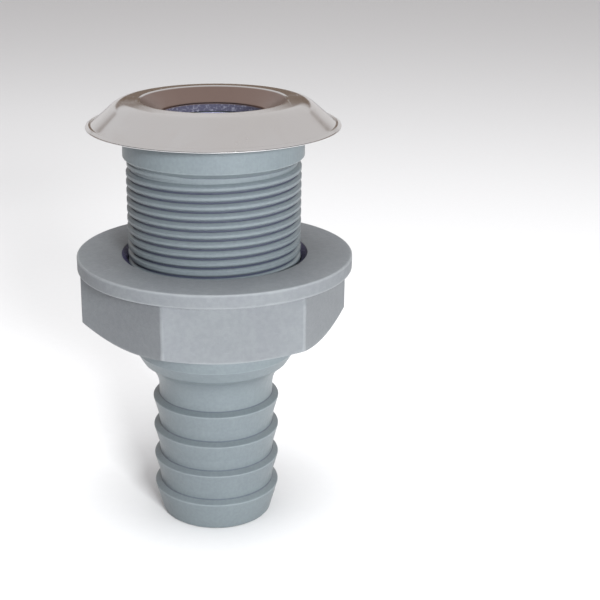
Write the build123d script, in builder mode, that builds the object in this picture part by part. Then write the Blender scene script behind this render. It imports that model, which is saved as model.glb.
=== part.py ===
from build123d import *
from math import atan2, cos, radians, sin, tan
import os

# A through-hull fitting: a hose tail, a threaded barrel and a flange moulded in one piece,
# a pressed metal cap over the flange, and a flanged hexagon nut that draws the cap against
# the hull. Lengths are in millimetres. +Z points out of the hull. The origin is the centre
# of the sealing face under the cap, so everything inside the hull has a negative z. The
# front of the fitting is its -Y side.

# Water way, sheet metal and the clearance between separate pieces
bore_radius = 12.2
sheet = 0.8
gap = 0.2
least_round = 0.2

# Cap: flat brim, straight skirt, rounded crest, nearly flat top and funnel throat
cap_radius = 30.2
crest_radius = 20.4
crest_z = 6.15
crest_curve = 5.9
skirt_angle = 41
top_angle = 3
mouth_radius = 17.6
throat_radius = 12.6
throat_z = 3.1
brim_foot_radius = 27.0
brim_round = 0.35
mouth_round = 0.4
throat_round = 0.8

# Barrel: plain collar, then the outside thread
collar_radius = 21.7
collar_z = -6.9
collar_bevel = 1.2
barrel_radius = 21.0
thread_pitch = 25.4 / 11.5
thread_depth = 0.9
thread_crest = 0.93
stretch_turns = 10
thread_stretches = 2
thread_start_z = -52.34
thread_top_z = -8.0
thread_end_z = -53.6
flank_angle = 30
thread_gap = 0.15
ridge_foot = 0.2
front_turn = -90

# Shoulder below the thread, and the neck of the hose tail
plain_end_z = -55.5
shoulder_z = -58.6
neck_radius = 14.3
cove_radius = 8.6
cove_angle = 57

# Barbs of the hose tail
barb_count = 4
barb_radius = 15.9
barb_pitch = 7.95
first_barb_z = -68.75
barb_shoulder = 0.9
heel_radius = 14.75
heel_drop = 4.2
tail_radius = 13.8
tail_z = -100.2
barb_round = 0.3
heel_round = 3.0
tail_round = 0.8

# Nut: round flange on top, hexagon below
nut_top_z = -31.05
nut_height = 18.35
nut_flange_radius = 33.5
nut_flange_height = 3.4
hex_radius = 33.05
hex_turn = 8.4
hex_round = 1.0
hex_bevel = 1.9
nut_round = 0.35
nut_mouth_radius = 22.7
nut_mouth_depth = 1.2
nut_thread_inset = 2.0
nut_thread_stretches = 1
nut_root_play = 0.25
nut_crest_play = 0.35

# Sizes that follow from those above
thread_root_radius = barrel_radius - thread_depth
flank_slope = tan(radians(flank_angle))
neck_top_z = shoulder_z - cove_radius * sin(radians(cove_angle))
shoulder_radius = neck_radius + cove_radius * (1 - cos(radians(cove_angle)))
skin_and_gap = sheet + gap
seat_z = sheet - gap
top_slope = radians(top_angle)
top_outer_radius = crest_radius + crest_curve * sin(top_slope)
top_outer_z = crest_z - crest_curve * (1 - cos(top_slope))
mouth_z = top_outer_z + (top_outer_radius - mouth_radius) * tan(top_slope)
funnel_slope = atan2(mouth_z - throat_z, mouth_radius - throat_radius)
mouth_half_angle = (funnel_slope + top_slope) / 2
nut_bottom_z = nut_top_z - nut_height
hex_flat_radius = hex_radius * cos(radians(30))
nut_root_radius = barrel_radius + nut_root_play
nut_crest_radius = thread_root_radius + nut_crest_play


def nearest(sketch, x, y):
    """The corner of a sketch that is nearest to a point of its plane."""
    return sketch.vertices().sort_by_distance((x, y))[0]


def dome_section(inset):
    """Half section of the space under the cap's outer skin, moved inwards by an inset."""
    skirt = radians(skirt_angle)
    curve = crest_curve - inset
    skirt_top_radius = crest_radius + curve * sin(skirt)
    skirt_top_z = crest_z - crest_curve + curve * cos(skirt)
    mouth_shift = inset / cos(mouth_half_angle)
    mouth_lean = mouth_half_angle - top_slope
    mouth = (mouth_radius + mouth_shift * sin(mouth_lean), mouth_z - mouth_shift * cos(mouth_lean))
    throat = (throat_radius + inset, throat_z - inset * (1 / cos(funnel_slope) - tan(funnel_slope)))
    with BuildSketch(Plane.XZ) as section:
        with BuildLine():
            crest = CenterArc(
                (crest_radius, crest_z - crest_curve), curve, 90 - skirt_angle, skirt_angle - top_angle
            )
            Polyline(
                crest @ 1,
                mouth,
                throat,
                (throat_radius + inset, 0),
                (skirt_top_radius + skirt_top_z / tan(skirt), 0),
                crest @ 0,
            )
        make_face()
        fillet(nearest(section, *throat), max(throat_round - inset, least_round))
        fillet(nearest(section, *mouth), max(mouth_round - inset, least_round))
    return section.sketch


def ring_section(inner_radius, outer_radius, low_z, high_z):
    """Half section of a plain ring."""
    with BuildSketch(Plane.XZ) as section:
        with Locations(((inner_radius + outer_radius) / 2, (low_z + high_z) / 2)):
            Rectangle(outer_radius - inner_radius, high_z - low_z)
    return section.sketch


def thread_ridge(base_radius, base_half_width, tip_radius, tip_half_width, start_z, stretches):
    """A right-hand screw ridge round +Z that starts at the front and stands out or in from its base.
    It is swept a few turns at a time, since one long sweep bends too much to mesh well."""
    stretch_height = stretch_turns * thread_pitch
    with BuildPart() as stretch:
        with BuildLine() as path:
            Helix(
                pitch=thread_pitch,
                height=stretch_height,
                radius=base_radius,
                center=(0, 0, start_z),
            )
        reach = tip_radius - base_radius
        outwards = Plane(origin=path.line @ 0, x_dir=(1, 0, 0), z_dir=path.line % 0)
        with BuildSketch(outwards):
            with BuildLine():
                Polyline(
                    (0, -base_half_width),
                    (reach, -tip_half_width),
                    (reach, tip_half_width),
                    (0, base_half_width),
                    close=True,
                )
            make_face()
        sweep(path=path.line, is_frenet=True)
    with BuildPart() as ridge:
        for index in range(stretches):
            with Locations((0, 0, index * stretch_height)):
                add(stretch.part)
    return ridge.part.rotate(Axis.Z, front_turn)


def outside_half_width(radius):
    """Half the thickness of the barrel's thread at a radius."""
    return thread_crest / 2 + (barrel_radius - radius) * flank_slope


def inside_half_width(radius):
    """Half the thickness of the nut's thread at a radius, which fills the barrel's groove with play."""
    play = thread_gap / cos(radians(flank_angle))
    return thread_pitch / 2 - outside_half_width(radius) - play


def barb_points():
    """Outline of the hose tail from the neck down to its end: a shoulder, a slope and a heel each."""
    points = []
    for index in range(barb_count):
        tip_z = first_barb_z - index * barb_pitch
        points.append((neck_radius, tip_z + barb_shoulder))
        points.append((barb_radius, tip_z))
        if index < barb_count - 1:
            points.append((heel_radius, tip_z - heel_drop))
    points.append((tail_radius, tail_z))
    return points


# Cap: one pressed sheet from the throat, over the crest and the skirt, to the folded brim
with BuildPart() as cap:
    add(dome_section(0))
    revolve(axis=Axis.Z)
    with BuildSketch(Plane.XZ) as brim:
        add(ring_section(brim_foot_radius, cap_radius, 0, sheet))
        for height in (0, sheet):
            fillet(nearest(brim, cap_radius, height), brim_round)
    revolve(axis=Axis.Z)
    add(dome_section(sheet))
    revolve(axis=Axis.Z, mode=Mode.SUBTRACT)
    add(ring_section(0, throat_radius + sheet, -sheet, sheet))
    revolve(axis=Axis.Z, mode=Mode.SUBTRACT)
cap.part.label = "cap"

# Thread of the barrel, run out into the collar above and tapered to a lead-in below
with BuildPart() as barrel_thread:
    add(
        thread_ridge(
            thread_root_radius - ridge_foot,
            outside_half_width(thread_root_radius - ridge_foot),
            barrel_radius,
            thread_crest / 2,
            thread_start_z,
            thread_stretches,
        )
    )
    with BuildSketch(Plane.XZ):
        with BuildLine():
            Polyline(
                (bore_radius, thread_end_z),
                (thread_root_radius, thread_end_z),
                (collar_radius, thread_end_z + collar_radius - thread_root_radius),
                (collar_radius, thread_top_z),
                (bore_radius, thread_top_z),
                close=True,
            )
        make_face()
    revolve(axis=Axis.Z, mode=Mode.INTERSECT)

# Body: flange that fills the cap, collar, threaded barrel and barbed hose tail
with BuildPart() as body:
    add(dome_section(skin_and_gap))
    revolve(axis=Axis.Z)
    with BuildSketch(Plane.XZ) as trunk:
        with BuildLine():
            shoulder = (shoulder_radius, shoulder_z)
            neck_top = (neck_radius, neck_top_z)
            Polyline(
                shoulder,
                (thread_root_radius, plain_end_z),
                (thread_root_radius, collar_z - collar_bevel),
                (collar_radius, collar_z),
                (collar_radius, seat_z),
                (bore_radius, seat_z),
                (bore_radius, tail_z),
                *reversed(barb_points()),
                neck_top,
            )
            RadiusArc(neck_top, shoulder, cove_radius)
        make_face()
        for index in range(barb_count):
            tip_z = first_barb_z - index * barb_pitch
            fillet(nearest(trunk, barb_radius, tip_z), barb_round)
            if index < barb_count - 1:
                fillet(nearest(trunk, heel_radius, tip_z - heel_drop), heel_round)
        fillet(nearest(trunk, tail_radius, tail_z), tail_round)
    revolve(axis=Axis.Z)
    add(barrel_thread.part)
body.part.label = "body"

# Thread of the nut, cut off flat where its mouths begin
with BuildPart() as nut_thread:
    add(
        thread_ridge(
            nut_root_radius + ridge_foot,
            inside_half_width(nut_root_radius + ridge_foot),
            nut_crest_radius,
            inside_half_width(nut_crest_radius),
            thread_start_z + 1.5 * thread_pitch,
            nut_thread_stretches,
        )
    )
    add(
        ring_section(
            nut_crest_radius - ridge_foot,
            nut_mouth_radius,
            nut_bottom_z + nut_thread_inset,
            nut_top_z - nut_thread_inset,
        )
    )
    revolve(axis=Axis.Z, mode=Mode.INTERSECT)

# Nut: the flange and the hexagon are one moulding, threaded to match the barrel
with BuildPart() as nut:
    with BuildSketch(Plane.XY.offset(nut_bottom_z)) as hexagon:
        RegularPolygon(hex_radius, 6, rotation=hex_turn)
        fillet(hexagon.vertices(), hex_round)
    extrude(amount=nut_height - nut_flange_height)
    with BuildSketch(Plane.XZ):
        with BuildLine():
            Polyline(
                (hex_flat_radius, nut_bottom_z),
                (hex_radius, nut_bottom_z + hex_bevel),
                (hex_radius + hex_bevel, nut_bottom_z + hex_bevel),
                (hex_radius + hex_bevel, nut_bottom_z),
                close=True,
            )
        make_face()
    revolve(axis=Axis.Z, mode=Mode.SUBTRACT)
    with BuildSketch(Plane.XY.offset(nut_top_z - nut_flange_height)):
        Circle(nut_flange_radius)
    extrude(amount=nut_flange_height)
    rims = nut.edges().filter_by(GeomType.CIRCLE).sort_by(SortBy.RADIUS)[-2:]
    fillet(rims, nut_round)
    with BuildSketch(Plane.XZ):
        with BuildLine():
            Polyline(
                (0, nut_bottom_z),
                (nut_mouth_radius, nut_bottom_z),
                (nut_root_radius, nut_bottom_z + nut_mouth_depth),
                (nut_root_radius, nut_top_z - nut_mouth_depth),
                (nut_mouth_radius, nut_top_z),
                (0, nut_top_z),
                close=True,
            )
        make_face()
    revolve(axis=Axis.Z, mode=Mode.SUBTRACT)
    add(nut_thread.part)
nut.part.label = "nut"

os.makedirs("parts", exist_ok=True)
for piece in (cap, body, nut):
    export_step(piece.part, f"parts/{piece.part.label}.step")
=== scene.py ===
import logging
from dataclasses import dataclass
from enum import Enum
from math import acos, atan2, ceil, cos, degrees, pi, radians, sin, sqrt, tan
from typing import Any, Mapping, Optional, Sequence, Union

import bmesh
import bpy
import numpy as np
from mathutils import Matrix, Vector


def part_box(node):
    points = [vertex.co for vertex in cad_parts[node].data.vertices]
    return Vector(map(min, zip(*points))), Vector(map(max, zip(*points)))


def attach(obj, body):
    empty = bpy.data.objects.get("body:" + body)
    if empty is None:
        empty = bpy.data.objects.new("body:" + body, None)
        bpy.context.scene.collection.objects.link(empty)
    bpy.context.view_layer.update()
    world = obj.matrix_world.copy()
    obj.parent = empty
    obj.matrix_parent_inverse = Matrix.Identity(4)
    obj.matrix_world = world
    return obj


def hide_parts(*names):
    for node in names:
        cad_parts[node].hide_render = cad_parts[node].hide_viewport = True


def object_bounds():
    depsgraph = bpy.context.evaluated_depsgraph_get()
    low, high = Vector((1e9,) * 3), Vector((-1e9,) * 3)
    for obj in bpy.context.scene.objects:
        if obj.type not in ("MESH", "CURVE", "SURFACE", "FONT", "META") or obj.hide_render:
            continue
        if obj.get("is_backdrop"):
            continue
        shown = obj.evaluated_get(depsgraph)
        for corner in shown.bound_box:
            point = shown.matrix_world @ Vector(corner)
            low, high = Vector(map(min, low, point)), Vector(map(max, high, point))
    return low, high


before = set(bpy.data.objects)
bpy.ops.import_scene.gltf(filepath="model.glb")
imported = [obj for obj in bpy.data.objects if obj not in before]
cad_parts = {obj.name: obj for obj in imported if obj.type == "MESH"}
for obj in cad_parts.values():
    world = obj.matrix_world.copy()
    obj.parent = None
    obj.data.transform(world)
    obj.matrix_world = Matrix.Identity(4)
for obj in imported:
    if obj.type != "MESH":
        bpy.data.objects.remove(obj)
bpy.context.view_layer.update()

# A through-hull fitting standing on its hose tail: a polished metal cap over the flange, a
# moulded body with a threaded barrel and a barbed tail, and a moulded flanged nut.
# Sizes are in millimetres unless a name or comment says otherwise; meshes are in metres.

MM = 0.001
LOG = logging.getLogger("fitting")

# How far the mouth's sharp corner stands above its rounded top
MOUTH_CORNER = 0.006
# Largest angle of one chord of a rounded corner, in degrees
CHORD_ANGLE = 9.0
# Points closer than these are joined, in a grown mesh and in a finished one
WELD = 0.002
TOUCHING = 0.001
# Edges shorter than this count as this long when the bend along them is measured
SHORTEST_EDGE = 0.02

Point = tuple[float, float]
Span = tuple[float, float]
Colour = tuple[float, float, float]


class Slot(Enum):
    """Material slots of the record."""

    BODY = "grey_moulding"
    CAP = "polished_metal"
    NUT = "nut_moulding"


class Attribute(Enum):
    """Values stored on the points of a mesh for its material to read."""

    EDGE = "edge"


# ---------------------------------------------------------------------------- node graphs


class Field:
    """A node socket that takes part in plain arithmetic."""

    def __init__(self, graph: "Graph", socket: bpy.types.NodeSocket) -> None:
        """Keep the socket and the graph it belongs to."""
        self.graph = graph
        self.socket = socket

    def math(self, operation: str, *others: "Link", clamp: bool = False) -> "Field":
        """Combine this value with others in one Math node.

        Args:
            operation: the Math node's operation.
            others: the second and third inputs, where the operation has them.
            clamp: whether the result is kept between 0 and 1.

        Returns:
            The node's result.
        """
        return self.graph.math(operation, self, *others, clamp=clamp)

    def __add__(self, other: "Link") -> "Field":
        """This value plus another."""
        return self.math("ADD", other)

    def __radd__(self, other: "Link") -> "Field":
        """Another value plus this one."""
        return self.math("ADD", other)

    def __sub__(self, other: "Link") -> "Field":
        """This value minus another."""
        return self.math("SUBTRACT", other)

    def __rsub__(self, other: "Link") -> "Field":
        """Another value minus this one."""
        return self.graph.math("SUBTRACT", other, self)

    def __mul__(self, other: "Link") -> "Field":
        """This value times another."""
        return self.math("MULTIPLY", other)

    def __truediv__(self, other: "Link") -> "Field":
        """This value divided by another."""
        return self.math("DIVIDE", other)

    def __rtruediv__(self, other: "Link") -> "Field":
        """Another value divided by this one."""
        return self.graph.math("DIVIDE", other, self)

    def clamped(self) -> "Field":
        """This value kept between 0 and 1."""
        return self.math("ADD", 0.0, clamp=True)


Link = Union[Field, float, int, bool, str, Sequence[float], bpy.types.ID]


class Graph:
    """A node tree of either kind, with one method for adding nodes."""

    def __init__(self, tree: bpy.types.NodeTree) -> None:
        """Wrap a tree."""
        self.tree = tree

    def node(
        self,
        kind: str,
        settings: Optional[Mapping[str, Any]] = None,
        inputs: Optional[Mapping[Union[str, int], Link]] = None,
    ) -> bpy.types.Node:
        """Add a node.

        Args:
            kind: the node's type name.
            settings: its properties by name.
            inputs: values or fields by input name or number.

        Returns:
            The node.
        """
        made = self.tree.nodes.new(kind)
        for name, value in (settings or {}).items():
            setattr(made, name, value)
        for key, value in (inputs or {}).items():
            self.plug(made.inputs[key], value)
        return made

    def field(
        self,
        kind: str,
        settings: Optional[Mapping[str, Any]] = None,
        inputs: Optional[Mapping[Union[str, int], Link]] = None,
        output: Union[str, int] = 0,
    ) -> Field:
        """Add a node and return one of its outputs.

        Args:
            kind: the node's type name.
            settings: its properties by name.
            inputs: values or fields by input name or number.
            output: the name or number of the output.

        Returns:
            The output as a field.
        """
        return Field(self, self.node(kind, settings, inputs).outputs[output])

    def plug(self, socket: bpy.types.NodeSocket, value: Link) -> None:
        """Link a field to a socket, or set the socket's own value."""
        if isinstance(value, Field):
            self.tree.links.new(value.socket, socket)
        else:
            socket.default_value = value

    def math(self, operation: str, *values: Link, clamp: bool = False) -> Field:
        """Add a Math node.

        Args:
            operation: the node's operation.
            values: its inputs in order.
            clamp: whether the result is kept between 0 and 1.

        Returns:
            The result.
        """
        settings = {"operation": operation, "use_clamp": clamp}
        return self.field("ShaderNodeMath", settings, dict(enumerate(values)))

    def vector(self, operation: str, *values: Link, scale: Optional[float] = None) -> Field:
        """Add a Vector Math node.

        Args:
            operation: the node's operation.
            values: its vector inputs in order.
            scale: the factor of a SCALE operation.

        Returns:
            The resulting vector, or the value for LENGTH.
        """
        made = self.node("ShaderNodeVectorMath", {"operation": operation}, dict(enumerate(values)))
        if scale is not None:
            made.inputs["Scale"].default_value = scale
        return Field(self, made.outputs["Value" if operation == "LENGTH" else "Vector"])

    def parts(self, vector: Field) -> tuple[Field, Field, Field]:
        """The three components of a vector."""
        made = self.node("ShaderNodeSeparateXYZ", inputs={0: vector})
        x, y, z = (Field(self, output) for output in made.outputs)
        return x, y, z

    def point(self, x: Link, y: Link, z: Link) -> Field:
        """A vector from three components."""
        return self.field("ShaderNodeCombineXYZ", inputs={0: x, 1: y, 2: z})

    def remap(self, value: Link, low: float, high: float, new_low: float, new_high: float) -> Field:
        """A value moved smoothly from one range to another and kept inside it."""
        return self.field(
            "ShaderNodeMapRange",
            {"interpolation_type": "SMOOTHSTEP"},
            {
                "Value": value,
                "From Min": low,
                "From Max": high,
                "To Min": new_low,
                "To Max": new_high,
            },
        )

    def mixed(self, amount: Link, first: Link, second: Link) -> Field:
        """A colour between two others.

        Args:
            amount: 0 for the first and 1 for the second.
            first: a colour field or three numbers.
            second: a colour field or three numbers.

        Returns:
            The colour.
        """
        made = self.node("ShaderNodeMix", {"data_type": "RGBA", "clamp_factor": True})
        self.plug(made.inputs["Factor"], amount)
        sockets = [socket for socket in made.inputs if socket.type == "RGBA"]
        for socket, colour in zip(sockets, (first, second)):
            self.plug(socket, colour if isinstance(colour, Field) else (*colour, 1.0))
        results = [socket for socket in made.outputs if socket.type == "RGBA"]
        return Field(self, results[0])


class Paint(Graph):
    """The node tree of one material, with the patterns that the finishes share."""

    def __init__(self, name: str) -> None:
        """Start a material whose shader is added by `shade`."""
        self.material = bpy.data.materials.new(name)
        self.material.use_nodes = True
        super().__init__(self.material.node_tree)
        self.tree.nodes.clear()
        place = self.field("ShaderNodeTexCoord", output="Object")
        self.place = self.vector("SCALE", place, scale=1 / MM)

    def noise(
        self,
        scale: float,
        detail: float = 2.0,
        roughness: float = 0.5,
        distortion: float = 0.0,
        place: Optional[Field] = None,
    ) -> Field:
        """Noise between 0 and 1.

        Args:
            scale: waves per millimetre.
            detail: octaves.
            roughness: how strong the finer octaves are.
            distortion: how much the pattern is stirred.
            place: where it is sampled, or the piece's own coordinates.

        Returns:
            The noise.
        """
        return self.field(
            "ShaderNodeTexNoise",
            {"noise_dimensions": "3D"},
            {
                "Vector": place or self.place,
                "Scale": scale,
                "Detail": detail,
                "Roughness": roughness,
                "Distortion": distortion,
            },
            "Fac",
        )

    def off_axis(self) -> Field:
        """Distance from the fitting's axis, in millimetres."""
        x, y, _ = self.parts(self.place)
        return self.vector("LENGTH", self.point(x, y, 0.0))

    def speckled(self, colour: Colour, speck_colour: Colour, span: Span) -> Field:
        """A colour with fine specks of another.

        Args:
            colour: the ground.
            speck_colour: the specks.
            span: the noise values where the specks begin and where they are full.

        Returns:
            The colour.
        """
        specks = self.remap(self.noise(1.6, 3.0, 0.7), *span, 0.0, 1.0)
        return self.mixed(specks, colour, speck_colour)

    def stored(self, attribute: Attribute) -> Field:
        """A value stored on the mesh."""
        settings = {"attribute_name": attribute.value}
        return self.field("ShaderNodeAttribute", settings, output="Fac")

    def bump(self, height: Field, depth: float, below: Optional[Field] = None) -> Field:
        """A bumped normal.

        Args:
            height: the relief, from 0 to 1.
            depth: its full depth in millimetres.
            below: a normal that this one is added to.

        Returns:
            The normal.
        """
        inputs: dict[Union[str, int], Link] = {"Height": height, "Distance": depth * MM}
        if below is not None:
            inputs["Normal"] = below
        return self.field("ShaderNodeBump", inputs=inputs)

    def shade(self, inputs: Mapping[Union[str, int], Link]) -> bpy.types.Material:
        """Add the surface shader and finish the material.

        Args:
            inputs: the shader's inputs by name.

        Returns:
            The material.
        """
        shader = self.field("ShaderNodeBsdfPrincipled", inputs=inputs)
        self.node("ShaderNodeOutputMaterial", inputs={"Surface": shader})
        return self.material


# ------------------------------------------------------------------------------- finishes


@dataclass(frozen=True)
class Moulding:
    """Grey moulded plastic: fine grain, cloudy colour, scuffs, lighter worn edges, and painted shade in
    creases, in the thread's grooves and in the bore.
    """

    name: str
    colour: Colour
    shade_colour: Colour
    worn_colour: Colour
    # Dark colour of the random specks and of the painted shade in creases and thread grooves
    shade_and_speck_colour: Colour
    grain_size: float
    grain_depth: float
    roughness: float
    worn_roughness: float
    coat: float
    # Strength of the painted shade in concave creases
    crease_shade_strength: float = 0.4
    bore_radius: float = 0.0
    # Painted shade of the bore's wall, with specks of speck_colour
    bore_shade_colour: Colour = (0.15, 0.14, 0.24)
    speck_colour: Colour = (0.45, 0.45, 0.55)
    speck_span: Span = (0.55, 0.68)
    bore_fade: Span = (0.05, 0.25)
    thread_root: float = 0.0
    thread_low: float = 0.0
    thread_high: float = 0.0
    groove_fade: Span = (0.04, 0.32)
    thread_end_fade: float = 0.3

    def groove_shade(self, paint: Paint) -> Field:
        """Where painted shade darkens the thread's grooves towards their roots.

        Args:
            paint: the material that is being built.

        Returns:
            1 deep in the thread's groove and 0 elsewhere.
        """
        _, _, z = paint.parts(paint.place)
        near, far = (self.thread_root + fade for fade in self.groove_fade)
        deep = paint.remap(paint.off_axis(), near, far, 1.0, 0.0)
        deep = deep * paint.remap(z, self.thread_low, self.thread_low + self.thread_end_fade, 0.0, 1.0)
        return deep * paint.remap(z, self.thread_high - self.thread_end_fade, self.thread_high, 1.0, 0.0)

    def material(self) -> bpy.types.Material:
        """Build the finish.

        Returns:
            The material.
        """
        paint = Paint(self.name)
        grain = paint.noise(1 / self.grain_size, 3.0, 0.65)
        specks = paint.noise(0.45 / self.grain_size, 2.0, 0.5)
        clouds = paint.noise(0.09, 3.0, 0.6, 0.6)
        flow = paint.noise(1.0, 2.0, 0.5, 0.3, paint.vector("MULTIPLY", paint.place, (0.9, 0.9, 0.07)))
        scratches = paint.noise(
            1.0, 1.0, 0.4, 1.2, paint.vector("MULTIPLY", paint.place, (0.35, 0.3, 4.5))
        )
        edge = paint.stored(Attribute.EDGE)
        rubbed = paint.remap(edge + (clouds - 0.5) * 0.7, 0.25, 0.95, 0.0, 1.0)
        # Painted shade in creases: concave corners (edge below 0) are darkened towards the dark colour and
        # made a little rougher
        crease_shade = paint.remap(edge * -1.0 + (clouds - 0.5) * 0.5, 0.2, 0.9, 0.0, 1.0)
        scuffed = paint.remap(scratches * 0.8 + flow * 0.2, 0.63, 0.72, 0.0, 1.0)

        tint = paint.mixed(paint.remap(clouds, 0.32, 0.68, 0.0, 1.0), self.shade_colour, self.colour)
        tint = paint.mixed(paint.remap(flow, 0.35, 0.75, 0.0, 0.2), tint, self.shade_colour)
        tint = paint.mixed(paint.remap(specks, 0.3, 0.7, 0.0, 0.1), tint, self.shade_and_speck_colour)
        tint = paint.mixed(scuffed * 0.1, tint, self.worn_colour)
        tint = paint.mixed(crease_shade * self.crease_shade_strength, tint, self.shade_and_speck_colour)
        tint = paint.mixed(rubbed * 0.3, tint, self.worn_colour)

        # Painted shade: the thread's grooves are darkened towards the root
        if self.thread_root:
            tint = paint.mixed(self.groove_shade(paint) * 0.8, tint, self.shade_and_speck_colour)
        # Painted shade: the bore's wall is darkened to a speckled dark navy
        if self.bore_radius:
            near, far = (self.bore_radius + fade for fade in self.bore_fade)
            inside = paint.remap(paint.off_axis(), near, far, 1.0, 0.0)
            shade_lining = paint.speckled(self.bore_shade_colour, self.speck_colour, self.speck_span)
            tint = paint.mixed(inside, tint, shade_lining)

        gloss = self.roughness + (clouds - 0.5) * 0.12 + (grain - 0.5) * 0.16 + crease_shade * 0.12
        gloss = gloss + rubbed * (self.worn_roughness - self.roughness)
        skin = paint.bump(grain, self.grain_depth)
        skin = paint.bump(specks, self.grain_depth * 0.8, skin)
        skin = paint.bump(flow, 0.05, skin)
        return paint.shade(
            {
                "Base Color": tint,
                "Roughness": gloss.clamped(),
                "Normal": skin,
                "IOR": 1.5,
                "Coat Weight": self.coat,
                "Coat Roughness": 0.3,
            }
        )


@dataclass(frozen=True)
class PolishedMetal:
    """Polished sheet metal with rings from the buffing wheel, hairlines and handling marks, a painted tan
    reflection inside the mouth and painted shade on the throat's lower wall.
    """

    name: str
    colour: Colour
    warm_colour: Colour
    worn_colour: Colour
    roughness: float
    ring_size: float
    ring_depth: float
    mouth_radius: float
    # Painted reflection: tan tint of the metal inside the mouth
    throat_reflection_colour: Colour
    throat_roughness: float
    wall_top: float
    # Painted shade on the throat's lower wall
    wall_shade_colour: Colour
    speck_colour: Colour
    speck_span: Span = (0.5, 0.66)

    def material(self) -> bpy.types.Material:
        """Build the finish.

        Returns:
            The material.
        """
        paint = Paint(self.name)
        x, y, z = paint.parts(paint.place)
        out = paint.off_axis()
        round_place = paint.point((out - z) / self.ring_size, x * 0.03, y * 0.03)
        rings = paint.noise(1.0, 3.0, 0.7, 0.0, round_place)
        smudges = paint.noise(0.11, 4.0, 0.6, 1.4)
        haze = paint.noise(0.03, 2.0, 0.5)
        pits = paint.noise(2.6, 2.0, 0.5)
        hairlines = paint.noise(
            1.0, 1.0, 0.5, 0.8, paint.vector("MULTIPLY", paint.place, (2.4, 0.16, 0.3))
        )
        edge = paint.stored(Attribute.EDGE)
        handled = paint.remap(smudges, 0.45, 0.72, 0.0, 1.0)
        scored = paint.remap(hairlines, 0.66, 0.74, 0.0, 1.0)
        rubbed = paint.remap(edge + (smudges - 0.5) * 0.6, 0.3, 1.0, 0.0, 1.0)

        tint = paint.mixed(paint.remap(haze, 0.3, 0.7, 0.0, 0.5), self.colour, self.warm_colour)
        tint = paint.mixed(handled * 0.22, tint, self.warm_colour)
        tint = paint.mixed(rubbed * 0.3, tint, self.worn_colour)
        # Painted reflection: inside the mouth the metal is tinted tan
        within = paint.remap(out, self.mouth_radius - 0.5, self.mouth_radius - 0.2, 1.0, 0.0)
        tint = paint.mixed(within, tint, self.throat_reflection_colour)
        gloss = self.roughness + handled * 0.07 + scored * 0.1 + (rings - 0.5) * 0.06 + rubbed * 0.05
        gloss = gloss + within * (self.throat_roughness - self.roughness)
        # Painted shade: low on the throat's wall the metal gives way to a dark speckled non-metal
        wall = within * paint.remap(z, self.wall_top - 0.25, self.wall_top + 0.1, 1.0, 0.0)
        shade_lining = paint.speckled(self.wall_shade_colour, self.speck_colour, self.speck_span)
        tint = paint.mixed(wall, tint, shade_lining)
        skin = paint.bump(rings, self.ring_depth)
        skin = paint.bump(pits, self.ring_depth * 0.6, skin)
        return paint.shade(
            {
                "Base Color": tint,
                "Metallic": 1.0 - wall,
                "Roughness": gloss.clamped(),
                "Normal": skin,
            }
        )


@dataclass(frozen=True)
class FloorPaper:
    """Matt pale paper under the fitting."""

    name: str
    colour: Colour

    def material(self) -> bpy.types.Material:
        """Build the finish.

        Returns:
            The material.
        """
        paint = Paint(self.name)
        fibre = paint.noise(0.4, 3.0, 0.6)
        darker = tuple(part * 0.97 for part in self.colour)
        return paint.shade(
            {
                "Base Color": paint.mixed(fibre, self.colour, darker),
                "Roughness": 0.9,
                "Normal": paint.bump(fibre, 0.03),
            }
        )


# ------------------------------------------------------------------------------ geometry


@dataclass(frozen=True)
class Corner:
    """A corner of a turned outline, with the radius it is rounded by."""

    radius: float
    height: float
    rounding: float = 0.0


def arc(centre: Point, radius: float, start: float, end: float, steps: int) -> list[Point]:
    """Points of an arc.

    Args:
        centre: its centre as radius and height.
        radius: its own radius.
        start: first angle in degrees.
        end: last angle in degrees.
        steps: number of chords.

    Returns:
        The points from start to end.
    """
    turns = (radians(start + (end - start) * index / steps) for index in range(steps + 1))
    return [(centre[0] + radius * cos(turn), centre[1] + radius * sin(turn)) for turn in turns]


def rounded(before: Point, corner: Corner, after: Point) -> list[Point]:
    """The points that stand for one corner of an outline.

    Args:
        before: the point before the corner.
        corner: the corner and its rounding.
        after: the point after it.

    Returns:
        One point for a sharp corner, or an arc that touches both sides.
    """
    here = Vector((corner.radius, corner.height))
    if not corner.rounding:
        return [(here.x, here.y)]
    back = (Vector(before) - here).normalized()
    ahead = (Vector(after) - here).normalized()
    half = acos(max(-1.0, min(1.0, back.dot(ahead)))) / 2
    start = here + back * (corner.rounding / tan(half))
    end = here + ahead * (corner.rounding / tan(half))
    centre = here + (back + ahead).normalized() * (corner.rounding / sin(half))
    first = atan2(start.y - centre.y, start.x - centre.x)
    sweep = atan2(end.y - centre.y, end.x - centre.x) - first
    sweep = (sweep + pi) % (2 * pi) - pi
    steps = max(3, ceil(abs(degrees(sweep)) / CHORD_ANGLE))
    return arc((centre.x, centre.y), corner.rounding, degrees(first), degrees(first + sweep), steps)


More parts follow.
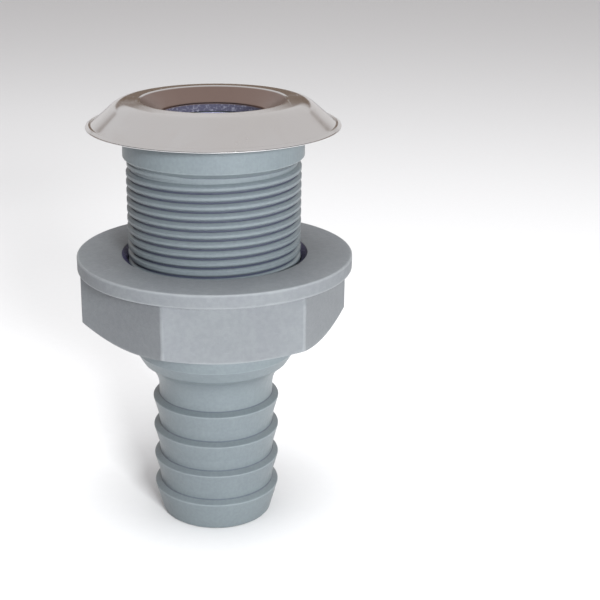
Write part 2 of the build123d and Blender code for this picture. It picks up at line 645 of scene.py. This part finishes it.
def supported(points: Sequence[Point], margin: float = 0.45, longest: float = 6.0) -> list[Point]:
    """A closed outline with extra points beside its corners, so that edge wear and the painted shade in
    creases stay at the edges.

    Args:
        points: the outline's points.
        margin: distance of the extra points from the corners, in millimetres.
        longest: longest step that is left, in millimetres.

    Returns:
        The outline with its extra points.
    """
    full: list[Point] = []
    for index, start in enumerate(points):
        end = points[(index + 1) % len(points)]
        full.append(start)
        span = sqrt((end[0] - start[0]) ** 2 + (end[1] - start[1]) ** 2)
        if span < 3 * margin:
            continue
        middle = max(1, ceil((span - 2 * margin) / longest))
        stops = [margin + (span - 2 * margin) * step / middle for step in range(middle + 1)]
        for stop in stops:
            share = stop / span
            radius = start[0] + (end[0] - start[0]) * share
            height = start[1] + (end[1] - start[1]) * share
            full.append((radius, height))
    return full


def outline(items: Sequence[Union[Corner, Sequence[Point]]]) -> list[Point]:
    """A closed outline from corners and ready-made runs of points.

    Args:
        items: corners, or lists of points such as arcs, in order.

    Returns:
        The points of the outline.
    """
    firsts = [(item.radius, item.height) if isinstance(item, Corner) else item[0] for item in items]
    lasts = [(item.radius, item.height) if isinstance(item, Corner) else item[-1] for item in items]
    points: list[Point] = []
    for index, item in enumerate(items):
        if isinstance(item, Corner):
            points += rounded(lasts[index - 1], item, firsts[(index + 1) % len(items)])
        else:
            points += item
    return supported(points)


class Growth(Graph):
    """A Geometry Nodes tree with named inputs, run once on a mesh and then removed."""

    def __init__(self, name: str, inputs: Mapping[str, tuple[str, Any]]) -> None:
        """Start a tree.

        Args:
            name: the tree's name.
            inputs: socket type and value of each named input.
        """
        super().__init__(bpy.data.node_groups.new(name, "GeometryNodeTree"))
        face = self.tree.interface
        face.new_socket("Geometry", in_out="INPUT", socket_type="NodeSocketGeometry")
        face.new_socket("Geometry", in_out="OUTPUT", socket_type="NodeSocketGeometry")
        self.values = {label: value for label, (_, value) in inputs.items()}
        self.keys = {
            label: face.new_socket(label, in_out="INPUT", socket_type=kind).identifier
            for label, (kind, _) in inputs.items()
        }
        self.source = self.node("NodeGroupInput")

    def given(self, label: str) -> Field:
        """One of the tree's inputs."""
        return Field(self, self.source.outputs[label])

    def finish(self, geometry: Field) -> None:
        """End the tree in Realize Instances and Set Material.

        Args:
            geometry: what the tree has made.
        """
        geometry = self.field("GeometryNodeRealizeInstances", inputs={"Geometry": geometry})
        geometry = self.field(
            "GeometryNodeSetMaterial", inputs={"Geometry": geometry, "Material": self.given("Material")}
        )
        self.node("NodeGroupOutput", inputs={"Geometry": geometry})

    def grow(self, seed: bpy.types.Mesh) -> bpy.types.Mesh:
        """Run the tree on a mesh.

        Args:
            seed: the mesh that it starts from.

        Returns:
            The result as a plain mesh.
        """
        holder = bpy.data.objects.new("growing", seed)
        bpy.context.scene.collection.objects.link(holder)
        modifier = holder.modifiers.new("growth", "NODES")
        modifier.node_group = self.tree
        for label, key in self.keys.items():
            modifier[key] = self.values[label]
        bpy.context.view_layer.update()
        evaluated = holder.evaluated_get(bpy.context.evaluated_depsgraph_get())
        result = bpy.data.meshes.new_from_object(evaluated)
        holder.modifiers.remove(modifier)
        bpy.data.objects.remove(holder)
        return result


def turned(
    name: str, points: Sequence[Point], segments: int, material: bpy.types.Material
) -> bpy.types.Mesh:
    """A closed ring-shaped solid turned round +Z from its outline.

    Args:
        name: name of the tree that turns it.
        points: the closed outline as radius and height.
        segments: number of steps round.
        material: its finish.

    Returns:
        The mesh.
    """
    profile = bpy.data.meshes.new(name + "_outline")
    closed = [*points, points[0]]
    profile.from_pydata([(radius * MM, 0.0, height * MM) for radius, height in closed], [], [])
    lathe = Growth(
        name,
        {
            "Rows": ("NodeSocketInt", len(closed)),
            "Segments": ("NodeSocketInt", segments),
            "Weld": ("NodeSocketFloat", WELD * MM),
            "Material": ("NodeSocketMaterial", material),
        },
    )
    grid = lathe.field(
        "GeometryNodeMeshGrid",
        inputs={
            "Vertices X": lathe.given("Segments") + 1,
            "Vertices Y": lathe.given("Rows"),
        },
    )
    index = lathe.field("GeometryNodeInputIndex")
    row = index.math("MODULO", lathe.given("Rows"))
    step = (index / lathe.given("Rows")).math("FLOOR")
    sample = lathe.node(
        "GeometryNodeSampleIndex",
        {"data_type": "FLOAT_VECTOR", "domain": "POINT"},
        {"Geometry": lathe.given("Geometry"), "Index": row},
    )
    place = lathe.field("GeometryNodeInputPosition")
    lathe.plug(sample.inputs["Value"], place)
    radius, _, height = lathe.parts(Field(lathe, sample.outputs["Value"]))
    turn = step / lathe.given("Segments") * (2 * pi)
    spot = lathe.point(radius * turn.math("COSINE"), radius * turn.math("SINE"), height)
    solid = lathe.field("GeometryNodeSetPosition", inputs={"Geometry": grid, "Position": spot})
    solid = lathe.field(
        "GeometryNodeMergeByDistance", inputs={"Geometry": solid, "Distance": lathe.given("Weld")}
    )
    lathe.finish(solid)
    return lathe.grow(profile)


@dataclass(frozen=True)
class ScrewRidge:
    """One right-hand screw thread that stands out from a barrel or in from a nut.

    A negative reach makes it stand inwards.
    """

    name: str
    pitch: float
    start: float
    turns: float
    base_radius: float
    reach: float
    base_half_width: float
    crest_half_width: float
    front_turn: float = -pi / 2
    steps_per_turn: int = 120
    steps_across: int = 12
    fade_turns: float = 0.3
    crest_softness: float = 0.22

    def mesh(self, material: bpy.types.Material) -> bpy.types.Mesh:
        """Grow the ridge as a closed strip that fades out at both ends.

        Args:
            material: its finish.

        Returns:
            The mesh.
        """
        tree = Growth(
            self.name,
            {
                "Turns": ("NodeSocketFloat", self.turns),
                "Steps Along": ("NodeSocketInt", int(self.turns * self.steps_per_turn)),
                "Steps Across": ("NodeSocketInt", self.steps_across),
                "Pitch": ("NodeSocketFloat", self.pitch * MM),
                "Start Height": ("NodeSocketFloat", self.start * MM),
                "Base Radius": ("NodeSocketFloat", self.base_radius * MM),
                "Reach": ("NodeSocketFloat", self.reach * MM),
                "Base Half Width": ("NodeSocketFloat", self.base_half_width * MM),
                "Crest Half Width": ("NodeSocketFloat", self.crest_half_width * MM),
                "Weld": ("NodeSocketFloat", WELD * MM),
                "Material": ("NodeSocketMaterial", material),
            },
        )
        along, across = tree.given("Steps Along"), tree.given("Steps Across")
        grid = tree.field(
            "GeometryNodeMeshGrid", inputs={"Vertices X": along + 1, "Vertices Y": across + 2}
        )
        index = tree.field("GeometryNodeInputIndex")
        row = index.math("MODULO", across + 2)
        share = (index / (across + 2)).math("FLOOR") / along
        side = row * 2.0 / across - 1.0
        closing = row.math("GREATER_THAN", across)
        side = side - closing * (2.0 + 2.0 / across)
        wide, narrow = tree.given("Base Half Width"), tree.given("Crest Half Width")
        rise = (wide - (side * wide).math("ABSOLUTE")) / (wide - narrow)
        rise = rise.math("SMOOTH_MIN", 1.0, self.crest_softness)
        ends = share.math("MINIMUM", 1.0 - share) * tree.given("Turns") / self.fade_turns
        rise = rise * ends.math("MINIMUM", 1.0)
        radius = tree.given("Base Radius") + tree.given("Reach") * rise
        turn = share * tree.given("Turns") * (2 * pi) + self.front_turn
        height = tree.given("Start Height") + tree.given("Pitch") * tree.given("Turns") * share
        spot = tree.point(
            radius * turn.math("COSINE"), radius * turn.math("SINE"), height + side * wide
        )
        ridge = tree.field("GeometryNodeSetPosition", inputs={"Geometry": grid, "Position": spot})
        ridge = tree.field(
            "GeometryNodeMergeByDistance", inputs={"Geometry": ridge, "Distance": tree.given("Weld")}
        )
        tree.finish(ridge)
        return tree.grow(bpy.data.meshes.new(self.name + "_seed"))


def tidied(mesh: bpy.types.Mesh) -> bpy.types.Mesh:
    """Close a mesh's ends and turn its faces outwards.

    Args:
        mesh: the mesh, changed in place.

    Returns:
        The same mesh.
    """
    shell = bmesh.new()
    shell.from_mesh(mesh)
    bmesh.ops.remove_doubles(shell, verts=shell.verts, dist=TOUCHING * MM)
    bmesh.ops.dissolve_degenerate(shell, edges=shell.edges, dist=TOUCHING * MM / 2)
    open_edges = [edge for edge in shell.edges if len(edge.link_faces) == 1]
    if open_edges:
        bmesh.ops.holes_fill(shell, edges=open_edges, sides=0)
    bmesh.ops.recalc_face_normals(shell, faces=shell.faces)
    shell.to_mesh(mesh)
    shell.free()
    return mesh


def edge_values(mesh: bpy.types.Mesh, reach: float) -> np.ndarray:
    """How much each point of a mesh stands on an edge (above 0) or in a corner (below 0).

    Args:
        mesh: the mesh.
        reach: the radius of rounding, in millimetres, that counts as a full edge.

    Returns:
        One number from -1 to 1 for each point.
    """
    count = len(mesh.vertices)
    places = np.zeros(count * 3)
    mesh.vertices.foreach_get("co", places)
    places = places.reshape(-1, 3)
    normals = np.zeros(count * 3)
    mesh.vertices.foreach_get("normal", normals)
    normals = normals.reshape(-1, 3)
    ends = np.zeros(len(mesh.edges) * 2, dtype=int)
    mesh.edges.foreach_get("vertices", ends)
    first, second = ends.reshape(-1, 2).T
    step = places[second] - places[first]
    length = np.maximum((step**2).sum(axis=1), (SHORTEST_EDGE * MM) ** 2)
    bend = ((normals[second] - normals[first]) * step).sum(axis=1) / length
    total = np.bincount(first, bend, count) + np.bincount(second, bend, count)
    links = np.maximum(np.bincount(first, None, count) + np.bincount(second, None, count), 1)
    return np.clip(total / links * reach * MM, -1.0, 1.0)


@dataclass(frozen=True)
class Piece:
    """A finished visible piece and the body that it rides on."""

    name: str
    meshes: Sequence[bpy.types.Mesh]
    material: bpy.types.Material
    body: str
    replaced: str
    slot: Slot
    edge_reach: float = 0.6
    sharp_angle: float = 34.0

    def place(self) -> bpy.types.Object:
        """Join the meshes, smooth them and put the piece in the frame.

        Returns:
            The object.
        """
        joined = bmesh.new()
        for mesh in self.meshes:
            joined.from_mesh(mesh)
        result = bpy.data.meshes.new(self.name)
        joined.to_mesh(result)
        joined.free()
        result.materials.clear()
        result.materials.append(self.material)
        result.polygons.foreach_set("material_index", np.zeros(len(result.polygons), dtype=np.int32))
        result.polygons.foreach_set("use_smooth", np.ones(len(result.polygons), dtype=bool))
        result.set_sharp_from_angle(angle=radians(self.sharp_angle))
        layer = result.attributes.new(Attribute.EDGE.value, "FLOAT", "POINT")
        layer.data.foreach_set("value", edge_values(result, self.edge_reach).astype(np.float32))
        made = bpy.data.objects.new(self.name, result)
        bpy.context.scene.collection.objects.link(made)
        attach(made, self.body)
        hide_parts(self.replaced)
        triangles = sum(len(polygon.vertices) - 2 for polygon in result.polygons)
        LOG.info("%s: %d triangles on body %s", self.name, triangles, self.body)
        return made


# --------------------------------------------------------------------------- the fitting


@dataclass(frozen=True)
class Dome:
    """The crowned shape that the cap and the flange under it share."""

    mouth_z: float
    crest_radius: float = 20.4
    crest_curve: float = 5.9
    skirt_angle: float = 41.0
    top_angle: float = 3.0
    mouth_radius: float = 17.6
    throat_radius: float = 12.6
    throat_z: float = 3.1
    sheet: float = 0.8
    gap: float = 0.2

    @property
    def crest_centre_z(self) -> float:
        """Height of the crest's centre of curvature."""
        slope = radians(self.top_angle)
        run = self.crest_radius + self.crest_curve * sin(slope) - self.mouth_radius
        return self.mouth_z - run * tan(slope) - self.crest_curve * cos(slope)

    def crest(self, inset: float, steps: int) -> list[Point]:
        """The crest's arc from the nearly flat top to the skirt.

        Args:
            inset: how far inside the outer skin the arc lies.
            steps: number of chords.

        Returns:
            The arc's points.
        """
        centre = (self.crest_radius, self.crest_centre_z)
        return arc(centre, self.crest_curve - inset, 90 - self.top_angle, 90 - self.skirt_angle, steps)

    def skirt_at(self, inset: float, height: float) -> Corner:
        """The skirt's corner at a height.

        Args:
            inset: how far inside the outer skin the skirt lies.
            height: the height.

        Returns:
            The corner.
        """
        end = self.crest(inset, 1)[-1]
        return Corner(end[0] + (end[1] - height) / tan(radians(self.skirt_angle)), height)

    def funnel(self, inset: float) -> tuple[Point, Point]:
        """The funnel's upper and lower corners.

        Args:
            inset: how far inside the outer skin the funnel lies.

        Returns:
            The mouth's and the throat's corner.
        """
        slope = atan2(self.mouth_z - self.throat_z, self.mouth_radius - self.throat_radius)
        half = (slope + radians(self.top_angle)) / 2
        shift, lean = inset / cos(half), half - radians(self.top_angle)
        mouth = (self.mouth_radius + shift * sin(lean), self.mouth_z - shift * cos(lean))
        drop = inset * (1 / cos(slope) - tan(slope))
        return mouth, (self.throat_radius + inset, self.throat_z - drop)


@dataclass
class Cap:
    """The pressed metal cap: throat, funnel, nearly flat top, crest, skirt and a folded brim."""

    dome: Dome
    brim_round: float = 0.25
    brim_width: float = 0.85
    brim_edge: float = 0.3
    crease_sink: float = 0.1
    crease_round: float = 0.15
    mouth_round: float = 0.4
    throat_round: float = 0.8
    inner_round: float = 0.2
    lip_round: float = 0.15
    foot_round: float = 0.1
    segments: int = 320

    def build(self, finish: PolishedMetal) -> bpy.types.Object:
        """Turn the cap and place it.

        Args:
            finish: its finish.

        Returns:
            The object.
        """
        low, high = (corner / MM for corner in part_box("cap"))
        outer, foot = high.x, low.z
        dome, wall = self.dome, self.dome.sheet
        brim = foot + wall
        mouth, throat = dome.funnel(0.0)
        mouth_in, throat_in = dome.funnel(wall)
        crease = dome.skirt_at(0.0, brim - self.crease_sink)
        points = outline(
            [
                Corner(dome.throat_radius, brim, self.lip_round),
                Corner(*throat, self.throat_round),
                Corner(*mouth, self.mouth_round),
                dome.crest(0.0, 16),
                Corner(crease.radius, crease.height, self.crease_round),
                Corner(outer - self.brim_width, brim, self.brim_round),
                Corner(outer, foot + self.brim_edge, self.brim_round),
                Corner(outer, foot, self.foot_round),
                dome.skirt_at(wall, foot),
                list(reversed(dome.crest(wall, 12))),
                Corner(*mouth_in, self.inner_round),
                Corner(*throat_in, self.inner_round),
                Corner(dome.throat_radius + wall, brim, self.lip_round),
            ]
        )
        material = finish.material()
        mesh = tidied(turned("cap_pressing", points, self.segments, material))
        return Piece("cap_shell", [mesh], material, "cap", "cap", Slot.CAP, 0.35).place()


@dataclass
class Body:
    """The moulded body: flange under the cap, collar, threaded barrel, cove and barbed tail."""

    dome: Dome
    bore_radius: float = 12.2
    collar_radius: float = 21.7
    collar_z: float = -6.9
    collar_bevel: float = 1.2
    barrel_radius: float = 21.0
    thread_pitch: float = 25.4 / 11.5
    thread_depth: float = 0.9
    thread_crest: float = 0.93
    thread_turns: float = 20.0
    thread_start_z: float = -52.34
    ridge_foot: float = 0.2
    flank_angle: float = 30.0
    plain_end_z: float = -55.5
    shoulder_z: float = -58.6
    neck_radius: float = 14.3
    cove_radius: float = 8.6
    cove_angle: float = 57.0
    barb_count: int = 4
    barb_radius: float = 15.9
    barb_pitch: float = 7.95
    first_barb_z: float = -68.75
    barb_shoulder: float = 0.9
    barb_round: float = 0.3
    heel_radius: float = 14.75
    heel_drop: float = 4.2
    heel_round: float = 3.0
    tail_radius: float = 13.8
    tail_round: float = 0.8
    inner_round: float = 0.2
    collar_round: float = 0.4
    collar_foot_round: float = 0.25
    barb_foot_round: float = 0.25
    bore_end_round: float = 0.3
    segments: int = 240

    @property
    def root_radius(self) -> float:
        """Radius at the bottom of the barrel's thread."""
        return self.barrel_radius - self.thread_depth

    def half_width(self, radius: float) -> float:
        """Half the thickness of the barrel's thread at a radius."""
        return self.thread_crest / 2 + (self.barrel_radius - radius) * tan(radians(self.flank_angle))

    def barbs(self) -> list[Corner]:
        """The corners of the hose tail's barbs from the top down.

        Returns:
            A shoulder, a tip and a heel for each barb.
        """
        corners: list[Corner] = []
        for index in range(self.barb_count):
            tip = self.first_barb_z - index * self.barb_pitch
            corners.append(Corner(self.neck_radius, tip + self.barb_shoulder, self.barb_foot_round))
            corners.append(Corner(self.barb_radius, tip, self.barb_round))
            if index < self.barb_count - 1:
                corners.append(Corner(self.heel_radius, tip - self.heel_drop, self.heel_round))
        return corners

    def trunk(self) -> list[Point]:
        """The outline of everything but the thread.

        Returns:
            The closed outline.
        """
        low, _ = (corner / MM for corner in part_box("body"))
        tail = low.z
        dome = self.dome
        inset = dome.sheet + dome.gap
        seat = dome.sheet - dome.gap
        root = self.root_radius
        neck_top = self.shoulder_z - self.cove_radius * sin(radians(self.cove_angle))
        cove = arc(
            (self.neck_radius + self.cove_radius, neck_top),
            self.cove_radius,
            180 - self.cove_angle,
            180,
            16,
        )
        mouth, throat = dome.funnel(inset)
        return outline(
            [
                Corner(self.bore_radius, seat, self.inner_round),
                Corner(throat[0], seat),
                Corner(*throat, self.inner_round),
                Corner(*mouth, self.inner_round),
                dome.crest(inset, 12),
                dome.skirt_at(inset, 0.0),
                Corner(self.collar_radius, 0.0, self.collar_round),
                Corner(self.collar_radius, self.collar_z, self.collar_foot_round),
                Corner(root, self.collar_z - self.collar_bevel, self.inner_round),
                Corner(root, self.plain_end_z, self.collar_round),
                cove,
                *self.barbs(),
                Corner(self.tail_radius, tail, self.tail_round),
                Corner(self.bore_radius, tail, self.bore_end_round),
            ]
        )

    def build(self, finish: Moulding) -> bpy.types.Object:
        """Turn the trunk, add its thread and place the body.

        Args:
            finish: its finish.

        Returns:
            The object.
        """
        material = finish.material()
        base = self.root_radius - self.ridge_foot
        ridge = ScrewRidge(
            name="barrel_thread",
            pitch=self.thread_pitch,
            start=self.thread_start_z,
            turns=self.thread_turns,
            base_radius=base,
            reach=self.barrel_radius - base,
            base_half_width=self.half_width(base),
            crest_half_width=self.half_width(self.barrel_radius),
        )
        trunk = tidied(turned("body_turning", self.trunk(), self.segments, material))
        thread = tidied(ridge.mesh(material))
        return Piece(
            "body_moulding", [trunk, thread], material, "fitting", "body", Slot.BODY, 0.6, 55.0
        ).place()


@dataclass
class Nut:
    """The moulded nut: a round flange on a hexagon, with an inside thread."""

    barrel: Body
    flange_height: float = 3.4
    corner_radius: float = 33.05
    corner_turn: float = 8.4
    corner_round: float = 1.0
    foot_bevel: float = 1.9
    rim_round: float = 0.35
    mouth_radius: float = 22.7
    mouth_depth: float = 1.2
    root_play: float = 0.25
    crest_play: float = 0.35
    thread_gap: float = 0.15
    thread_inset: float = 2.0
    corner_arc: float = 0.9
    corner_steps: int = 5
    easing_angles: tuple[float, ...] = (1.4, 2.2, 3.5)
    first_plain_angle: float = 5.5
    plain_step: float = 2.0
    bevel_steps: int = 6
    wall_steps: int = 6
    edge_margin: float = 0.5

    @property
    def flat_radius(self) -> float:
        """Distance from the axis to a flat of the hexagon."""
        return self.corner_radius * cos(pi / 6)

    def reach(self, turn: float) -> float:
        """Distance from the axis to the hexagon's side.

        Args:
            turn: angle from the nearest corner, in radians.

        Returns:
            The distance.
        """
        turn = abs(turn)
        centre = self.corner_radius - self.corner_round / sin(pi / 3)
        touch = atan2(self.corner_round * sin(pi / 6), centre + self.corner_round * cos(pi / 6))
        if turn > touch:
            return self.flat_radius / cos(pi / 6 - turn)
        return centre * cos(turn) + sqrt(self.corner_round**2 - (centre * sin(turn)) ** 2)

    def turns(self) -> list[tuple[float, float]]:
        """The angles round the nut, closer together near the corners.

        Returns:
            Pairs of the angle round +Z and the angle from the nearest corner, in radians.
        """
        near = [self.corner_arc * step / self.corner_steps for step in range(1, self.corner_steps + 1)]
        far = np.arange(self.first_plain_angle, 30.0, self.plain_step).tolist()
        side = near + list(self.easing_angles) + far
        offsets = [-angle for angle in reversed(side)] + [0.0] + side
        pairs = []
        for corner in range(6):
            middle = self.corner_turn + 60 * corner
            pairs += [(radians(middle + offset), radians(offset)) for offset in offsets]
            pairs.append((radians(middle + 30), radians(30)))
        return pairs

    def column(self, turn: float, bottom: float, top: float, flange: float) -> list[Point]:
        """The outline of the nut at one angle.

        Args:
            turn: angle from the nearest corner, in radians.
            bottom: height of the lower face.
            top: height of the upper face.
            flange: radius of the flange.

        Returns:
            The closed outline, with as many points at every angle.
        """
        side = self.reach(turn)
        slope = self.foot_bevel / (self.corner_radius - self.flat_radius)
        inner = self.barrel.barrel_radius + self.root_play
        under = top - self.flange_height
        margin = self.edge_margin
        foot = self.flat_radius - self.rim_round
        points = [(inner, bottom + self.mouth_depth), (self.mouth_radius, bottom)]
        points += [(self.mouth_radius + margin, bottom), (foot - margin, bottom)]
        for step in range(self.bevel_steps + 1):
            reach = foot + (side - foot) * step / self.bevel_steps
            points.append((reach, bottom + max(0.0, reach - self.flat_radius) * slope))
        low = points[-1][1]
        points += [(side, low + margin)]
        for step in range(1, self.wall_steps):
            points.append((side, low + (under - low) * step / self.wall_steps))
        points += [(side, under - margin), (side, under)]
        rim, round_ = flange - self.rim_round, self.rim_round
        points += [(max(side, rim - 0.1) if side > rim - margin else rim - margin, under)]
        points += arc((rim, under + round_), round_, -90, 0, 4)
        points += [(flange, under + round_ + margin), (flange, top - round_ - margin)]
        points += arc((rim, top - round_), round_, 0, 90, 4)
        points += [(rim - margin, top), (self.mouth_radius + margin, top)]
        points += [(self.mouth_radius, top), (inner, top - self.mouth_depth)]
        return points

    def build(self, finish: Moulding) -> bpy.types.Object:
        """Build the skin and the inside thread and place the nut.

        Args:
            finish: its finish.

        Returns:
            The object.
        """
        low, high = (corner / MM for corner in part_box("nut"))
        material = finish.material()
        columns = [
            (turn, self.column(offset, low.z, high.z, high.x)) for turn, offset in self.turns()
        ]
        rows = len(columns[0][1])
        places = [
            (radius * cos(turn) * MM, radius * sin(turn) * MM, height * MM)
            for turn, points in columns
            for radius, height in points
        ]
        faces = []
        for column in range(len(columns)):
            beside = (column + 1) % len(columns)
            for row in range(rows):
                above = (row + 1) % rows
                here, there = column * rows, beside * rows
                faces.append((here + row, there + row, there + above, here + above))
        skin = bpy.data.meshes.new("nut_skin")
        skin.from_pydata(places, [], faces)
        skin.materials.append(material)
        barrel = self.barrel
        base = barrel.barrel_radius + self.root_play + barrel.ridge_foot
        crest = barrel.root_radius + self.crest_play
        play = self.thread_gap / cos(radians(barrel.flank_angle))
        half_pitch = barrel.thread_pitch / 2
        start_turns = ceil((low.z + self.thread_inset - barrel.thread_start_z) / barrel.thread_pitch) + 0.5
        start = barrel.thread_start_z + start_turns * barrel.thread_pitch
        ridge = ScrewRidge(
            name="nut_thread",
            pitch=barrel.thread_pitch,
            start=start,
            turns=float(int((high.z - self.thread_inset - start) / barrel.thread_pitch)),
            base_radius=base,
            reach=crest - base,
            base_half_width=half_pitch - barrel.half_width(base) - play,
            crest_half_width=half_pitch - barrel.half_width(crest) - play,
            steps_across=6,
        )
        meshes = [tidied(skin), tidied(ridge.mesh(material))]
        return Piece("nut_moulding", meshes, material, "nut", "nut", Slot.NUT, 1.2).place()


# ------------------------------------------------------------------- floor, light, camera


@dataclass
class Studio:
    """A pale floor, soft lamps and the camera."""

    floor_size: float = 6000.0
    middle: tuple[float, float, float] = (0.0, 0.0, -45.0)
    lamp_colour: Colour = (0.98, 1.0, 1.0)
    floor_colour: Colour = (0.77, 0.77, 0.78)
    screen_colour: Colour = (0.74, 0.72, 0.715)
    room_colour: Colour = (0.215, 0.162, 0.127)
    front_colour: Colour = (0.06, 0.065, 0.085)
    near_clip: float = 0.01
    far_clip: float = 20.0
    lens: float = 76.57
    sensor: float = 36.0
    shift_x: float = 0.108
    shift_y: float = 0.0027
    eye: tuple[float, float, float] = (0.0, -298.2, 61.4)
    pitch: float = 0.3408
    yaw: float = 0.0167
    roll: float = -0.0042

    def floor(self, paper: FloorPaper) -> bpy.types.Object:
        """Lay the floor under the tail.

        Args:
            paper: its finish.

        Returns:
            The floor.
        """
        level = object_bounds()[0][2]
        half = self.floor_size * MM / 2
        mesh = bpy.data.meshes.new("floor")
        corners = [(-half, -half, level), (half, -half, level), (half, half, level), (-half, half, level)]
        mesh.from_pydata(corners, [], [(0, 1, 2, 3)])
        mesh.materials.append(paper.material())
        made = bpy.data.objects.new("floor", mesh)
        bpy.context.scene.collection.objects.link(made)
        made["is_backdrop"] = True
        return made

    def lamp(self, name: str, place: Sequence[float], size: Point, power: float) -> bpy.types.Object:
        """Hang one soft rectangular lamp that faces the fitting.

        Args:
            name: its name.
            place: where it hangs, in millimetres.
            size: width and height in millimetres.
            power: its power in watts.

        Returns:
            The lamp.
        """
        data = bpy.data.lights.new(name, "AREA")
        data.shape = "RECTANGLE"
        data.size, data.size_y = size[0] * MM, size[1] * MM
        data.energy = power
        data.color = self.lamp_colour
        made = bpy.data.objects.new(name, data)
        made.location = Vector(place) * MM
        made.visible_glossy = False
        aim = (Vector(self.middle) - Vector(place)).normalized()
        made.rotation_mode = "QUATERNION"
        made.rotation_quaternion = aim.to_track_quat("-Z", "Y")
        bpy.context.scene.collection.objects.link(made)
        made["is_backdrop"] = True
        return made

    def sky(self) -> None:
        """Surround the scene with a dim warm room, a pale ceiling and a pale wing at each side."""
        world = bpy.data.worlds.new("room")
        world.use_nodes = True
        graph = Graph(world.node_tree)
        world.node_tree.nodes.clear()
        way = graph.field("ShaderNodeTexCoord", output="Generated")
        side, ahead, up = graph.parts(way)
        side = side.math("ABSOLUTE")
        behind = (0.0 - ahead).math("MAXIMUM", 0.0)
        ceiling = graph.remap(up - side * 0.25 - behind * 0.5, 0.19, 0.26, 0.0, 1.0)
        wings = graph.remap(side - up, 0.03, 0.08, 0.0, 1.0)
        wings = wings * graph.remap(ahead, 0.7, 0.9, 0.0, 1.0)
        screens = ceiling.math("MAXIMUM", wings)
        depth = graph.remap(ahead, -0.1, 0.35, 0.0, 1.0)
        room = graph.mixed(depth, self.front_colour, self.room_colour)
        tint = graph.mixed(screens, room, self.screen_colour)
        light = graph.field("ShaderNodeBackground", inputs={"Color": tint, "Strength": 1.0})
        graph.node("ShaderNodeOutputWorld", inputs={"Surface": light})
        bpy.context.scene.world = world

    def camera(self) -> bpy.types.Object:
        """Place the camera.

        Returns:
            The camera.
        """
        data = bpy.data.cameras.new("camera")
        data.lens, data.sensor_width = self.lens, self.sensor
        data.shift_x, data.shift_y = self.shift_x, self.shift_y
        data.clip_start, data.clip_end = self.near_clip, self.far_clip
        ahead = Vector(
            (sin(self.yaw) * cos(self.pitch), cos(self.yaw) * cos(self.pitch), -sin(self.pitch))
        )
        level = Vector((cos(self.yaw), -sin(self.yaw), 0.0))
        up = level.cross(ahead)
        right = level * cos(self.roll) + up * sin(self.roll)
        up = up * cos(self.roll) - level * sin(self.roll)
        axes = Matrix((right, up, -ahead)).transposed().to_4x4()
        made = bpy.data.objects.new("camera", data)
        made.matrix_world = Matrix.Translation(Vector(self.eye) * MM) @ axes
        bpy.context.scene.collection.objects.link(made)
        bpy.context.scene.camera = made
        return made

    def build(self) -> None:
        """Set up the floor, the lamps, the sky and the camera."""
        bpy.context.scene.view_settings.view_transform = "Standard"
        self.floor(FloorPaper("floor_paper", self.floor_colour))
        self.lamp("key", (210, -650, 180), (200, 70), 7.9)
        self.lamp("above", (0, -80, 640), (500, 500), 4.4)
        self.sky()
        self.camera()


GREY_MOULDING = Moulding(
    name="grey_moulding",
    colour=(0.150, 0.178, 0.190),
    shade_colour=(0.142, 0.168, 0.182),
    worn_colour=(0.28, 0.31, 0.325),
    shade_and_speck_colour=(0.022, 0.023, 0.055),
    grain_size=0.35,
    grain_depth=0.02,
    roughness=0.42,
    worn_roughness=0.34,
    coat=0.08,
    bore_radius=12.2,
    thread_root=20.1,
    thread_low=-52.2,
    thread_high=-9.6,
)
NUT_MOULDING = Moulding(
    name="nut_moulding",
    colour=(0.170, 0.182, 0.192),
    shade_colour=(0.163, 0.173, 0.185),
    worn_colour=(0.30, 0.315, 0.325),
    shade_and_speck_colour=(0.03, 0.028, 0.06),
    grain_size=0.55,
    grain_depth=0.07,
    roughness=0.58,
    worn_roughness=0.45,
    coat=0.0,
    bore_radius=22.45,
    bore_shade_colour=(0.035, 0.032, 0.08),
    speck_colour=(0.16, 0.15, 0.22),
)
POLISHED_METAL = PolishedMetal(
    name="polished_metal",
    colour=(0.69, 0.685, 0.69),
    warm_colour=(0.65, 0.625, 0.61),
    worn_colour=(0.9, 0.89, 0.87),
    roughness=0.11,
    ring_size=0.16,
    ring_depth=0.004,
    mouth_radius=17.6,
    throat_reflection_colour=(0.28, 0.205, 0.18),
    throat_roughness=0.3,
    wall_top=2.7,
    wall_shade_colour=(0.062, 0.06, 0.092),
    speck_colour=(0.17, 0.17, 0.215),
)


def main() -> None:
    """Build the three pieces and the studio."""
    logging.basicConfig(level=logging.INFO, format="%(name)s %(message)s")
    dome = Dome(mouth_z=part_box("cap")[1].z / MM + MOUTH_CORNER)
    body = Body(dome)
    pieces = [
        Cap(dome).build(POLISHED_METAL),
        body.build(GREY_MOULDING),
        Nut(body).build(NUT_MOULDING),
    ]
    LOG.info("%d pieces placed", len(pieces))
    Studio().build()


if __name__ == "__main__":
    main()
